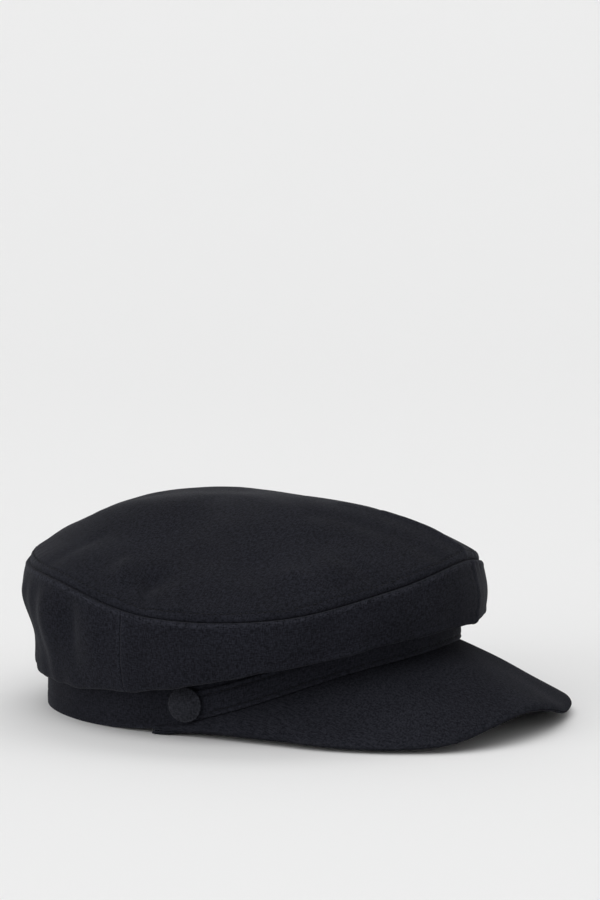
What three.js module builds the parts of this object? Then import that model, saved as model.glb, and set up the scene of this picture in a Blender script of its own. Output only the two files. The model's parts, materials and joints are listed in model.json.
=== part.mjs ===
// A soft cotton cap: a full crown over a head band, with a peak, a strap over its root and two buttons.
// Millimetres, +Z up, standing on its band. The peak points to -Y, the wearer's right is -X.
// The origin is under the middle of the cap's box, on the surface that it stands on.
// Angles are degrees round the head, 0 at the front and 90 at the wearer's side.
import * as THREE from 'three';

// Driving dimensions. The band's outer face is an oval for a head of about 57 cm.
const BAND_LENGTH = 200;
const BAND_WIDTH = 168;
const BAND_THICK = 2.4;
const CLOTH = 2;
const GAP = 0.3;
const FRONT_SEAM = -5;
const SIDE_SEAM = 97;
const RING_STEP = 5;

// The wall is a cloth and its lining. Over its fold it thins to one layer, which runs in to the band,
// eased off it a little, and up the band's face to the hem.
const TUCK = 4;
const TUCK_EASE = 0.5;
const HEM = 8;
const HEM_CLOTH = 1.1;
const THIN_FROM = 0.44;
const THIN_OVER = 0.16;

// Stations of the sheets, as shares of the way: down the wall, out along the top and out along the peak.
const WALL_SHARES = [0, 0.07, 0.16, 0.26, 0.36, 0.46, 0.54, 0.63, 0.72, 0.8, 0.9, 1];
const TIP_SHARES = [0, 0.1, 0.24, 0.4, 0.56, 0.71, 0.84, 0.94, 1];
const PEAK_SHARES = [0, 0.2, 0.45, 0.7, 0.88, 1];
const UPRIGHT_SHARES = [1, 0.5, 0];

// Top of the crown: its highest point, and how much fuller the wearer's left half stands.
const APEX_FORWARD = -14;
const APEX_HEIGHT = 100;
const LEFT_FULLER = 1;

// Dents of the top die away over the last share of the way to the rim. Folds of the wall die away over
// its first share, reach some way above and below the belly, and end where the lower fold begins.
const DENT_FADE = 0.125;
const FOLD_FADE = 0.125;
const FOLD_REACH = 26;
const FOLD_END = 0.55;

// Peak, strap and buttons.
const PEAK_SPAN = 94;
const PEAK_THICK = 4;
const PEAK_ROOT_UP = 1;
const PEAK_ROOT_LOWEST = 4.2;
const PEAK_BOW = 0.015;
const STRAP_SPAN = 85;
const STRAP_HEIGHT = 13;
const STRAP_THICK = 1.4;
const BUTTON_AT = 84;
const BUTTON_HEIGHT = 15.2;
const BUTTON_WIDTH = 16;
const BUTTON_DEPTH = 4.2;
const BUTTON_SIDES = 18;

// Colours of the dyed cotton.
const CROWN_COLOUR = 0x1c1e24;
const BAND_COLOUR = 0x1d1f25;
const PEAK_COLOUR = 0x1b1d23;
const BUTTON_COLOUR = 0x24272a;

// Height of the band's lower edge. It rises where the peak is sewn on.
const BAND_EDGE = [
  { at: 0, z: 34.5 },
  { at: 30, z: 30.8 },
  { at: 45, z: 26 },
  { at: 60, z: 18.2 },
  { at: 75, z: 10 },
  { at: 90, z: 3.5 },
  { at: 105, z: 0.8 },
  { at: 120, z: 0 },
  { at: 180, z: 0 },
];

// Lines of the crown's wall, each as how far it stands out from the band's face, and its height. The
// rim is the seam to the top, the belly the fullest line, the waist is where the cloth draws in.
const WALL = [
  { at: 0, rim: [10, 75], belly: [13.2, 60], waist: [14.2, 51.5], fold: [12.8, 46] },
  { at: 30, rim: [12.5, 67.6], belly: [14.8, 56], waist: [15.3, 48], fold: [13.8, 43.5] },
  { at: 60, rim: [17, 57], belly: [19, 46], waist: [18.5, 39], fold: [16, 34] },
  { at: 90, rim: [18, 56.2], belly: [19, 44], waist: [18, 32], fold: [14, 23] },
  { at: 120, rim: [14, 66.5], belly: [16, 50], waist: [13, 30], fold: [10, 18] },
  { at: 150, rim: [9.5, 68], belly: [12, 55], waist: [6, 33], fold: [5.5, 17.5] },
  { at: 180, rim: [8, 69], belly: [10, 58], waist: [5, 35], fold: [5, 19.5] },
];

// How round the top is on its way from the highest point to the rim: 1 is a straight slope.
const BULGE = [
  { at: 0, power: 3.2 },
  { at: 20, power: 2.7 },
  { at: 45, power: 1.9 },
  { at: 90, power: 1.5 },
  { at: 135, power: 2.1 },
  { at: 160, power: 2.4 },
  { at: 180, power: 2.5 },
];

// Soft dents and humps of the top: place by angle and share of the way out, reach and rise in mm.
const TIP_DENTS = [
  { at: 103, along: 0.86, reach: 11, rise: 2.2 },
  { at: 92, along: 0.8, reach: 10, rise: -2.6 },
  { at: 42, along: 0.86, reach: 15, rise: 1.8 },
  { at: 62, along: 0.72, reach: 17, rise: -1.6 },
  { at: -70, along: 0.78, reach: 16, rise: -2 },
  { at: -125, along: 0.75, reach: 15, rise: 1.6 },
  { at: 170, along: 0.7, reach: 14, rise: -1.6 },
];

// Upright soft folds of the wall: place and width in degrees, rise outwards in mm at the belly.
const WALL_FOLDS = [
  { at: 30, width: 8, rise: 1.4 },
  { at: 48, width: 8, rise: -1 },
  { at: 105, width: 5, rise: 1.3 },
  { at: 114, width: 5, rise: -2.4 },
  { at: 123, width: 6, rise: 1.6 },
  { at: 160, width: 8, rise: -1.3 },
  { at: -36, width: 9, rise: 1.2 },
  { at: -78, width: 8, rise: -1.5 },
  { at: -118, width: 7, rise: 1.4 },
  { at: -148, width: 7, rise: -1.6 },
];

// Lower edge of the peak, from its middle round to the wearer's side. It stands higher by its lean on
// the wearer's right, and lower by as much on the left.
const PEAK_EDGE = [
  { side: 0, forward: 153.5, z: 8.2, lean: 0 },
  { side: 25, forward: 151, z: 6.9, lean: 4.3 },
  { side: 48, forward: 144.5, z: 4.9, lean: 3.2 },
  { side: 66, forward: 132.5, z: 1.6, lean: 0.9 },
  { side: 80, forward: 109, z: 0.3, lean: 0 },
  { side: 87.5, forward: 80, z: 0.2, lean: 0 },
  { side: 87.5, forward: 54, z: 0.3, lean: 0 },
  { side: 87, forward: 32, z: 0.3, lean: 0 },
  { side: 86.3, forward: 12, z: 0.3, lean: 0 },
  { side: 85.3, forward: -6, z: 0.3, lean: 0 },
];

// Section of a button from its back to the top of its dome, as shares of its radius and its depth.
const BUTTON_SECTION = [
  { out: 0, up: 0 },
  { out: 0.85, up: 0 },
  { out: 1, up: 0.26 },
  { out: 0.96, up: 0.48 },
  { out: 0.72, up: 0.79 },
  { out: 0.38, up: 0.95 },
  { out: 0, up: 1 },
];

const rad = THREE.MathUtils.degToRad;

// A point from its way forward, its way to the wearer's right and its height.
const place = (forward, right, z) => new THREE.Vector3(-right, -forward, z);

// Smooth value that `read` takes from a table's rows, at an angle. Both halves of the cap are alike.
function valueAt(rows, read, angle) {
  const at = Math.min(Math.abs(angle > 180 ? angle - 360 : angle), 180);
  const last = rows.length - 1;
  let i = 0;
  while (i < last - 1 && rows[i + 1].at <= at) i += 1;
  const mirror = (k) => {
    if (k < 0) return { at: -rows[1].at, v: read(rows[1]) };
    if (k > last) return { at: 360 - rows[last - 1].at, v: read(rows[last - 1]) };
    return { at: rows[k].at, v: read(rows[k]) };
  };
  const [a, b, c, d] = [mirror(i - 1), mirror(i), mirror(i + 1), mirror(i + 2)];
  const span = c.at - b.at;
  const t = (at - b.at) / span;
  const slopeIn = (c.v - a.v) / (c.at - a.at);
  const slopeOut = (d.v - b.v) / (d.at - b.at);
  return (2 * t ** 3 - 3 * t ** 2 + 1) * b.v + (t ** 3 - 2 * t ** 2 + t) * span * slopeIn
    + (3 * t ** 2 - 2 * t ** 3) * c.v + (t ** 3 - t ** 2) * span * slopeOut;
}

// The plan of the head, moved outwards: forward and right of a point at an angle.
function oval(angle, out) {
  const [c, s] = [Math.cos(rad(angle)), Math.sin(rad(angle))];
  const normal = new THREE.Vector2(c / BAND_LENGTH, s / BAND_WIDTH).normalize();
  const forward = c * BAND_LENGTH / 2 + out * normal.x;
  const right = s * BAND_WIDTH / 2 + out * normal.y;
  return { forward, right, normal };
}

function onOval(angle, out, z) {
  const { forward, right } = oval(angle, out);
  return place(forward, right, z);
}

// A bell of height 1 that has died away at twice its reach.
const bell = (distance, reach) => Math.exp(-2 * (distance / reach) ** 2);

const bandEdge = (angle) => Math.max(0, valueAt(BAND_EDGE, (row) => row.z, angle));
const lineOut = (line, angle) => valueAt(WALL, (row) => row[line][0], angle);
const lineHeight = (line, angle) => valueAt(WALL, (row) => row[line][1], angle);

// One closed body from an outer and an inner sheet of points with the same rows and columns. A sheet
// that is a ring is closed from its last column to its first; one with a pole starts in one point.
function cloth(name, outer, inner, colour, { ring = false, pole = false } = {}) {
  const rows = outer.length;
  const columns = outer[0].length;
  const positions = [];
  const index = [];
  const addSheet = (sheet) => sheet.map((row, j) => {
    const count = pole && j === 0 ? 1 : columns;
    const first = positions.length / 3;
    for (let i = 0; i < count; i += 1) positions.push(...row[i].toArray());
    return (i) => first + (count === 1 ? 0 : i % columns);
  });
  const triangle = (a, b, c) => {
    if (a !== b && b !== c && c !== a) index.push(a, b, c);
  };
  const quad = (a, b, c, d) => {
    triangle(a, b, c);
    triangle(a, c, d);
  };
  const [top, under] = [addSheet(outer), addSheet(inner)];
  const steps = ring ? columns : columns - 1;
  for (let j = 0; j < rows - 1; j += 1) {
    for (let i = 0; i < steps; i += 1) {
      quad(top[j](i), top[j](i + 1), top[j + 1](i + 1), top[j + 1](i));
      quad(under[j](i), under[j + 1](i), under[j + 1](i + 1), under[j](i + 1));
    }
    if (!ring) {
      quad(top[j](0), top[j + 1](0), under[j + 1](0), under[j](0));
      quad(top[j + 1](steps), top[j](steps), under[j](steps), under[j + 1](steps));
    }
  }
  for (let i = 0; i < steps; i += 1) {
    if (!pole) quad(top[0](i + 1), top[0](i), under[0](i), under[0](i + 1));
    quad(top[rows - 1](i), top[rows - 1](i + 1), under[rows - 1](i + 1), under[rows - 1](i));
  }
  const geometry = new THREE.BufferGeometry();
  geometry.setAttribute('position', new THREE.Float32BufferAttribute(positions, 3));
  geometry.setIndex(index);
  geometry.computeVertexNormals();
  return solid(name, geometry, colour);
}

function solid(name, geometry, colour) {
  const material = new THREE.MeshStandardMaterial({ color: colour, roughness: 0.95, metalness: 0 });
  const mesh = new THREE.Mesh(geometry, material);
  mesh.name = name;
  return mesh;
}

// Angles from one end to the other on the common rings, so that neighbours keep their gap.
function angles(from, to) {
  const list = [from];
  for (let a = Math.ceil((from + 1) / RING_STEP) * RING_STEP; a < to - 1; a += RING_STEP) list.push(a);
  if (to - from < 360) list.push(to);
  return list;
}

// The crown's top. Its edge lies on the wall's upper edge, a gap above it.
function makeTip() {
  const dentAt = (p) => TIP_DENTS.reduce((sum, { at, along, reach, rise }) => {
    const rim = oval(at, lineOut('rim', at));
    const middle = place(APEX_FORWARD + (rim.forward - APEX_FORWARD) * along, rim.right * along, 0);
    return sum + rise * bell(Math.hypot(p.x - middle.x, p.y - middle.y), reach);
  }, 0);
  const point = (angle, along) => {
    const rim = oval(angle, lineOut('rim', angle));
    const rimZ = lineHeight('rim', angle) + GAP / 2 + CLOTH;
    const fuller = LEFT_FULLER * Math.max(0, -Math.sin(rad(angle)));
    const power = valueAt(BULGE, (row) => row.power, angle) + fuller;
    const z = rimZ + (APEX_HEIGHT - rimZ) * (1 - along ** power);
    const p = place(APEX_FORWARD + (rim.forward - APEX_FORWARD) * along, rim.right * along, z);
    p.z += dentAt(p) * Math.min(1, (1 - along) / DENT_FADE);
    return p;
  };
  const round = angles(-180, 180);
  const outer = TIP_SHARES.map((along) => round.map((angle) => point(angle, along)));
  const inner = outer.map((row) => row.map((p) => p.clone().setZ(p.z - CLOTH)));
  return cloth('tip', outer, inner, CROWN_COLOUR, { ring: true, pole: true });
}

// Section of the crown's wall at an angle, from the rim down, round the fold and up the band's face.
function wallSection(angle) {
  const at = (line) => new THREE.Vector2(lineOut(line, angle), lineHeight(line, angle));
  const [rim, belly, waist, fold] = ['rim', 'belly', 'waist', 'fold'].map(at);
  rim.y -= GAP / 2;
  const tuck = new THREE.Vector2(GAP + TUCK_EASE, fold.y + TUCK);
  const hem = new THREE.Vector2(GAP, fold.y + HEM);
  const curve = new THREE.SplineCurve([rim, belly, waist, fold, tuck, hem]);
  const push = WALL_FOLDS.reduce((sum, { at: middle, width, rise }) => {
    const away = THREE.MathUtils.euclideanModulo(angle - middle + 180, 360) - 180;
    return sum + rise * bell(away, width);
  }, 0);
  return WALL_SHARES.map((share) => {
    const p = curve.getPoint(share);
    const t = curve.getTangent(share);
    const fade = share < FOLD_END ? bell(p.y - belly.y, FOLD_REACH) : 0;
    p.x = Math.max(GAP, p.x + push * fade * Math.min(1, share / FOLD_FADE));
    // The rim and the hem are level edges: the rim's outer face looks outwards, the hem's at the band.
    const normal = new THREE.Vector2(-t.y, t.x);
    if (share === 0) normal.set(1, 0);
    if (share === 1) normal.set(-1, 0);
    const thin = THREE.MathUtils.smoothstep(share, THIN_FROM, THIN_FROM + THIN_OVER);
    const depth = THREE.MathUtils.lerp(CLOTH, HEM_CLOTH, thin);
    return { outer: p, inner: p.clone().addScaledVector(normal, -depth) };
  });
}

// A panel of the wall between two seams.
function makeWall(name, from, to) {
  const seamGap = THREE.MathUtils.radToDeg(GAP / 2 / (BAND_WIDTH / 2));
  const columns = angles(from + seamGap, to - seamGap);
  const sections = columns.map((angle) => ({ angle, rows: wallSection(angle) }));
  const sheet = (side) => WALL_SHARES.map((share, j) => sections.map(({ angle, rows }) => (
    onOval(angle, rows[j][side].x, rows[j][side].y))));
  return cloth(name, sheet('outer'), sheet('inner'), CROWN_COLOUR);
}

// The head band, upright, its upper edge behind the hem of the crown's wall.
function makeBand() {
  const round = angles(-180, 180);
  const sheet = (out) => UPRIGHT_SHARES.map((share) => round.map((angle) => {
    const [low, high] = [bandEdge(angle), lineHeight('fold', angle) + HEM];
    return onOval(angle, out, low + (high - low) * share);
  }));
  return cloth('band', sheet(0), sheet(-BAND_THICK), BAND_COLOUR, { ring: true });
}

// The peak: straight lines from the band's lower edge out to the peak's own edge, bowed a little.
function makePeak() {
  const half = (way) => PEAK_EDGE.map(({ side, forward, z, lean }) => (
    place(forward, side * way, z + lean * way + PEAK_THICK)));
  const edgePoints = [...half(-1).slice(1).reverse(), ...half(1)];
  const edge = new THREE.CatmullRomCurve3(edgePoints, false, 'centripetal');
  const span = angles(-PEAK_SPAN, PEAK_SPAN);
  const rows = PEAK_SHARES.map((share) => span.map((angle, i) => {
    const root = onOval(angle, GAP, Math.max(bandEdge(angle) + PEAK_ROOT_UP, PEAK_ROOT_LOWEST));
    const end = edge.getPointAt(i / (span.length - 1));
    const bow = PEAK_BOW * root.distanceTo(end) * 4 * share * (1 - share);
    const p = root.lerp(end, share);
    return p.setZ(p.z + bow);
  }));
  const drop = (depth) => rows.map((row) => row.map((p) => p.clone().setZ(p.z - depth)));
  const layer = (PEAK_THICK - GAP) / 2;
  return [
    cloth('peak_top', rows, drop(layer), PEAK_COLOUR),
    cloth('peak_under', drop(layer + GAP), drop(PEAK_THICK), PEAK_COLOUR),
  ];
}

// The strap lies on the band's face, just above the peak, and ends under the buttons.
function makeStrap() {
  const span = angles(-STRAP_SPAN, STRAP_SPAN);
  const low = (angle) => bandEdge(angle) + PEAK_ROOT_UP + GAP;
  const sheet = (out) => UPRIGHT_SHARES.map((share) => span.map((angle) => (
    onOval(angle, out, low(angle) + STRAP_HEIGHT * share))));
  return cloth('strap', sheet(GAP + STRAP_THICK), sheet(GAP), BAND_COLOUR);
}

// A covered button: a low dome with a rounded rim, its flat back on the strap.
function makeButton(name, angle) {
  const section = BUTTON_SECTION.map(({ out, up }) => (
    new THREE.Vector2(out * BUTTON_WIDTH / 2, up * BUTTON_DEPTH)));
  const button = solid(name, new THREE.LatheGeometry(section, BUTTON_SIDES), BUTTON_COLOUR);
  const { forward, right, normal } = oval(angle, GAP + STRAP_THICK + GAP);
  button.position.copy(place(forward, right, BUTTON_HEIGHT));
  button.quaternion.setFromUnitVectors(new THREE.Vector3(0, 1, 0), place(normal.x, normal.y, 0));
  return button;
}

const cap = new THREE.Group();
cap.add(
  makeTip(),
  makeWall('side_front_right', FRONT_SEAM, SIDE_SEAM),
  makeWall('side_front_left', -SIDE_SEAM, FRONT_SEAM),
  makeWall('side_back', SIDE_SEAM, 360 - SIDE_SEAM),
  makeBand(),
  ...makePeak(),
  makeStrap(),
  makeButton('button_right', BUTTON_AT),
  makeButton('button_left', -BUTTON_AT),
);

// The origin goes under the middle of the cap's box.
const box = new THREE.Box3().setFromObject(cap, true);
cap.position.set(-(box.min.x + box.max.x) / 2, -(box.min.y + box.max.y) / 2, -box.min.z);

export default cap;
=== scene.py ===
"""A soft dark cotton cap with a peak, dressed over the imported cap.

Sizes are millimetres and angles are degrees round the head: 0 at the front, 90 at the wearer's right,
180 at the back. The forms follow the same few lines as the cap's solids, and the cloth's own detail
is added on them: rolled seams, welts, stitches, puckers and soft folds.
"""

import json
import logging
import math
from dataclasses import dataclass, field
from enum import Enum
from typing import Any, NamedTuple, Sequence

import bpy
import numpy as np
from mathutils import Vector
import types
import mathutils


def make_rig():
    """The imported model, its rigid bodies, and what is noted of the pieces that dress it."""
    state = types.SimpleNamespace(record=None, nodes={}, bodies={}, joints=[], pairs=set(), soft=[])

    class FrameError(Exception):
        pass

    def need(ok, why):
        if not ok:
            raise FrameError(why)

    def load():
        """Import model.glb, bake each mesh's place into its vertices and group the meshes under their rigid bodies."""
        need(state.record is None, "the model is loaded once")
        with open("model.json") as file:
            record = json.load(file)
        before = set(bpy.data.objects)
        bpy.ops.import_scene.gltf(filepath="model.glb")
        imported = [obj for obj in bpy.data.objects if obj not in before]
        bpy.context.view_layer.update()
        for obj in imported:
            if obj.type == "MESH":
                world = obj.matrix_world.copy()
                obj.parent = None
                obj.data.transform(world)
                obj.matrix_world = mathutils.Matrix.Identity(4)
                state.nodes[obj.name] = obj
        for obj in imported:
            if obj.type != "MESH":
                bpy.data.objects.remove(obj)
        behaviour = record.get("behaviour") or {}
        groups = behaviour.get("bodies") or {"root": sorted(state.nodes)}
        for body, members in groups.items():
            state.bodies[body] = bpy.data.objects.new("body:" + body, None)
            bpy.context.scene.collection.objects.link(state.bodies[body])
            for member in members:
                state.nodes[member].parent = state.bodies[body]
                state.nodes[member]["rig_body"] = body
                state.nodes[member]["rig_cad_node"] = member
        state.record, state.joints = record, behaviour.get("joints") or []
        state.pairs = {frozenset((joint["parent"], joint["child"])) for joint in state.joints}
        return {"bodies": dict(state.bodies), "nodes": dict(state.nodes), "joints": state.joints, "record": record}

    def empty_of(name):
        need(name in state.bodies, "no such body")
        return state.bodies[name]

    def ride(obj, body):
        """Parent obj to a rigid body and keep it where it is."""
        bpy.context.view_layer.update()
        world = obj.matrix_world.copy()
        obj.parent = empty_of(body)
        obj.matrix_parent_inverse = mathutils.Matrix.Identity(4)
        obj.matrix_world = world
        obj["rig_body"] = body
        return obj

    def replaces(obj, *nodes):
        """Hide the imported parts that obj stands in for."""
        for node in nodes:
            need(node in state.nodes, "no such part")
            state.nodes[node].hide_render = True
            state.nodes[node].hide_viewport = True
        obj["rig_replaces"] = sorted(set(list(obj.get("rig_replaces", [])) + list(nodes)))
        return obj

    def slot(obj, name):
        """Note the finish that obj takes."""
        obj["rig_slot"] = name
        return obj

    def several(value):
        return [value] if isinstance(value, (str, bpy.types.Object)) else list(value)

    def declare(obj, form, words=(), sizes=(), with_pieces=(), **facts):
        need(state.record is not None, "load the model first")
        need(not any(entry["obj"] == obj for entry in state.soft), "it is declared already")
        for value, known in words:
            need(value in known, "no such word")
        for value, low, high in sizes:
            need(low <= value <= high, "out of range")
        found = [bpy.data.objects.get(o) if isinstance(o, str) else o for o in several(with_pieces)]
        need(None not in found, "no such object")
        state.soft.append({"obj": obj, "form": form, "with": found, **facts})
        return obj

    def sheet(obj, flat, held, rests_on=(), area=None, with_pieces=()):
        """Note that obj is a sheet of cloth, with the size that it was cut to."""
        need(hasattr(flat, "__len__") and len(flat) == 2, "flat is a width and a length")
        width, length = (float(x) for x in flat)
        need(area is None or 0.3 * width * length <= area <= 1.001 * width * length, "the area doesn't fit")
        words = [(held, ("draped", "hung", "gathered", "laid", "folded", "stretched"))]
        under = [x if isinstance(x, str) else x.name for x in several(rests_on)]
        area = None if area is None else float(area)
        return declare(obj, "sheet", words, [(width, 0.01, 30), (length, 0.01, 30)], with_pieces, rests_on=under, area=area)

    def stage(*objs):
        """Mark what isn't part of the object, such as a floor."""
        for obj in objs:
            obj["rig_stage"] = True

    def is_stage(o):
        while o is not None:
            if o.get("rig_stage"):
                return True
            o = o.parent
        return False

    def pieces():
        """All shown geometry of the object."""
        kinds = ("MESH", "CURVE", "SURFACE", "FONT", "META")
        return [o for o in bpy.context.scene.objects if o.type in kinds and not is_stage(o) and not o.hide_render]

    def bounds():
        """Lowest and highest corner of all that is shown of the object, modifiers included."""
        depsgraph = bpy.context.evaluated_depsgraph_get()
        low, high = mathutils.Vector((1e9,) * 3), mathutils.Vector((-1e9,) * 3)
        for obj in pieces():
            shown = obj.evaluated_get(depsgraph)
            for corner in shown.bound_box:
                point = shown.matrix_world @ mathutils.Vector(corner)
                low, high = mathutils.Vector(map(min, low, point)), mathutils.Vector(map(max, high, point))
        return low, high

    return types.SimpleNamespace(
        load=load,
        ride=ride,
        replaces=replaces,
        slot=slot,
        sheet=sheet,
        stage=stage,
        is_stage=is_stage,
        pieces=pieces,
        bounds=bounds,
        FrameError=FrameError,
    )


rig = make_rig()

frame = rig.load()
CAD_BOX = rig.bounds()

Array = np.ndarray
MM = 0.001
BAND_RADIUS = 92.0
RIM_RADIUS = 105.0
LOG = logging.getLogger("cotton_cap")


class EdgeRow(NamedTuple):
    """Height of the band's lower edge at an angle."""

    at: float
    z: float


class WallRow(NamedTuple):
    """Lines of the crown's wall at an angle: how far each stands out from the band, and its height."""

    at: float
    rim_out: float
    rim_z: float
    belly_out: float
    belly_z: float
    waist_out: float
    waist_z: float
    fold_out: float
    fold_z: float


class BulgeRow(NamedTuple):
    """How round the top is between its highest point and the rim."""

    at: float
    power: float


class Dent(NamedTuple):
    """A soft dent or hump of the top: angle, share of the way out, reach and rise in mm."""

    at: float
    along: float
    reach: float
    rise: float


class Fold(NamedTuple):
    """An upright soft fold of the wall: angle, width in degrees and rise in mm."""

    at: float
    width: float
    rise: float


class Crease(NamedTuple):
    """A soft crease of the top from one place to another, each an angle and a share of the way out, and how much
    lighter cloth it lays along it: a painted highlight with some rubbing.
    """

    from_at: float
    from_along: float
    to_at: float
    to_along: float
    reach: float
    rise: float
    rubbed_and_highlight: float


class PeakRow(NamedTuple):
    """A point of the peak's lower edge: to the side, forward, height, and how much higher the right is."""

    side: float
    forward: float
    z: float
    lean: float


class Window(NamedTuple):
    """A far and wide soft light: the place it shines from, its strength and the degrees that it fills."""

    name: str
    at: tuple[float, float, float]
    power: float
    wide: float


BAND_EDGE = [
    EdgeRow(0, 34.5), EdgeRow(30, 30.8), EdgeRow(45, 26), EdgeRow(60, 18.2), EdgeRow(75, 10),
    EdgeRow(90, 3.5), EdgeRow(105, 0.8), EdgeRow(120, 0), EdgeRow(180, 0),
]
WALL = [
    WallRow(0, 10, 75, 13.2, 60, 14.2, 51.5, 12.8, 46),
    WallRow(30, 12.5, 67.6, 14.8, 56, 15.3, 48, 13.8, 43.5),
    WallRow(60, 17, 57, 19, 46, 18.5, 39, 16, 34),
    WallRow(90, 18, 56.2, 19, 44, 18, 32, 14, 23),
    WallRow(120, 14, 66.5, 16, 50, 13, 30, 10, 18),
    WallRow(150, 9.5, 68, 12, 55, 6, 33, 5.5, 17.5),
    WallRow(180, 8, 69, 10, 58, 5, 35, 5, 19.5),
]
BULGE = [
    BulgeRow(0, 3.2), BulgeRow(20, 2.7), BulgeRow(45, 1.9), BulgeRow(90, 1.5),
    BulgeRow(135, 2.1), BulgeRow(160, 2.4), BulgeRow(180, 2.5),
]
TIP_DENTS = [
    Dent(103, 0.86, 11, 2.2), Dent(92, 0.8, 10, -2.6), Dent(42, 0.86, 15, 1.8), Dent(62, 0.72, 17, -1.6),
    Dent(-70, 0.78, 16, -2), Dent(-125, 0.75, 15, 1.6), Dent(170, 0.7, 14, -1.6),
]
# The last number of each crease lays lighter cloth along it: a painted highlight on the ridge, with some rubbing. The
# front ridge has the most.
TIP_CREASES = [
    Crease(-1, 0.5, -4, 0.98, 7, 0.9, 0.1), Crease(-2, 0.66, -4, 0.99, 2.8, 0.8, 0.32),
    Crease(24, 0.5, 10, 0.95, 8, -0.7, 0),
    Crease(94, 0.8, 92, 0.98, 4, -1.1, 0), Crease(104, 0.78, 100, 0.97, 5, 0.9, 0.1),
    Crease(84, 0.84, 83, 0.97, 5, 0.6, 0), Crease(52, 0.8, 46, 0.98, 6, 1.0, 0.1),
    Crease(62, 0.78, 58, 0.97, 6, -0.7, 0), Crease(36, 0.82, 33, 0.97, 6, -0.6, 0),
    Crease(126, 0.7, 128, 0.95, 7, -0.6, 0), Crease(-60, 0.75, -66, 0.96, 7, -0.9, 0),
    Crease(-104, 0.72, -100, 0.96, 6, 0.8, 0.1), Crease(160, 0.72, 166, 0.95, 7, -0.8, 0),
]
WALL_FOLDS = [
    Fold(30, 8, 1.4), Fold(48, 8, -1), Fold(105, 5, 1.3), Fold(114, 5, -2.4), Fold(123, 6, 1.6),
    Fold(160, 8, -1.3), Fold(-36, 9, 1.2), Fold(-78, 8, -1.5), Fold(-118, 7, 1.4), Fold(-148, 7, -1.6),
]
PEAK_EDGE = [
    PeakRow(0, 153.5, 8.2, 0), PeakRow(25, 151, 6.9, 4.3), PeakRow(48, 144.5, 4.9, 3.2),
    PeakRow(66, 132.5, 1.6, 0.9), PeakRow(80, 109, 0.3, 0), PeakRow(87.5, 80, 0.2, 0),
    PeakRow(87.5, 54, 0.3, 0), PeakRow(87, 32, 0.3, 0), PeakRow(86.3, 12, 0.3, 0),
    PeakRow(85.3, -6, 0.3, 0),
]
# Distances from a sheet's edge, in mm, at which it has points: closest where the edge rolls over.
LIP = np.array([0, 0.04, 0.14, 0.3, 0.5, 0.75, 1.05, 1.4, 1.8, 2.2, 2.6, 3.0, 3.4, 3.9, 4.5])
WINDOWS = [
    Window("high_window", (-1.0, -0.03, 1.9), 0.82, 60),
    Window("side_window", (0.78, 0.15, 0.92), 0.8, 45),
    Window("low_window", (-1.3, 0.75, 0.27), 1.2, 50),
]
ORIGIN_Y = CAD_BOX[0].y + PEAK_EDGE[0].forward * MM


def bell(distance: Array, reach: float) -> Array:
    """A bell of height 1 that has died away at twice its reach.

    Args:
        distance: how far each point is from the middle.
        reach: the bell's reach, in the same unit.

    Returns:
        The bell's height at each point.
    """
    return np.exp(-2 * (np.asarray(distance, float) / reach) ** 2)


def ease(share: Array) -> Array:
    """A smooth step from 0 to 1, flat at both ends.

    Args:
        share: values that are held between 0 and 1.

    Returns:
        The eased values.
    """
    t = np.clip(share, 0, 1)
    return t * t * (3 - 2 * t)


def from_line(points: Array, start: Array, end: Array) -> Array:
    """Distance of points from a straight line between two places, seen from above.

    Args:
        points: the points, in mm.
        start: one end.
        end: the other end.

    Returns:
        The distance of each point.
    """
    way = (end - start)[:2]
    step = points[..., :2] - start[:2]
    share = np.clip(step @ way / (way @ way), 0, 1)
    return np.linalg.norm(step - share[..., None] * way, axis=-1)


def turned(angle: Array | float) -> Array:
    """Angles brought between -180 and 180 degrees.

    Args:
        angle: angles in degrees.

    Returns:
        The same angles, less whole turns.
    """
    return (np.asarray(angle, float) + 180) % 360 - 180


def curve_between(t: Array, span: Array | float, start: Array, end: Array, start_slope: Array,
                  end_slope: Array) -> Array:
    """Smooth curve from one value to another, with a given slope at each.

    Args:
        t: share of the way, from 0 to 1.
        span: the whole way, in the unit that the slopes go by.
        start: the first value.
        end: the last value.
        start_slope: slope at the first value.
        end_slope: slope at the last value.

    Returns:
        The value at each share.
    """
    return ((2 * t**3 - 3 * t**2 + 1) * start + (t**3 - 2 * t**2 + t) * span * start_slope
            + (3 * t**2 - 2 * t**3) * end + (t**3 - t**2) * span * end_slope)


def column(rows: Sequence[NamedTuple], name: str, angle: Array | float) -> Array:
    """Smooth value of one column of a table at each angle; both halves of the cap are alike.

    Args:
        rows: the table's rows, from 0 to 180 degrees.
        name: the column's name.
        angle: angles in degrees.

    Returns:
        The value at each angle.
    """
    at = np.array([row.at for row in rows], float)
    value = np.array([getattr(row, name) for row in rows], float)
    x = np.abs(turned(angle))
    i = np.clip(np.searchsorted(at, x, side="right") - 1, 0, len(at) - 2)
    wide_at = np.concatenate([[-at[1]], at, [360 - at[-2]]])
    wide_value = np.concatenate([[value[1]], value, [value[-2]]])
    slope = (wide_value[2:] - wide_value[:-2]) / (wide_at[2:] - wide_at[:-2])
    span = at[i + 1] - at[i]
    return curve_between((x - at[i]) / span, span, value[i], value[i + 1], slope[i], slope[i + 1])


def place(forward: Array | float, right: Array | float, z: Array | float) -> Array:
    """Points in the cap's frame, in mm.

    Args:
        forward: way to the front.
        right: way to the wearer's right.
        z: height.

    Returns:
        An array whose last axis is x, y, z.
    """
    forward, right, z = np.broadcast_arrays(forward, right, z)
    return np.stack([-right, -forward, z], axis=-1).astype(float)


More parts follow.
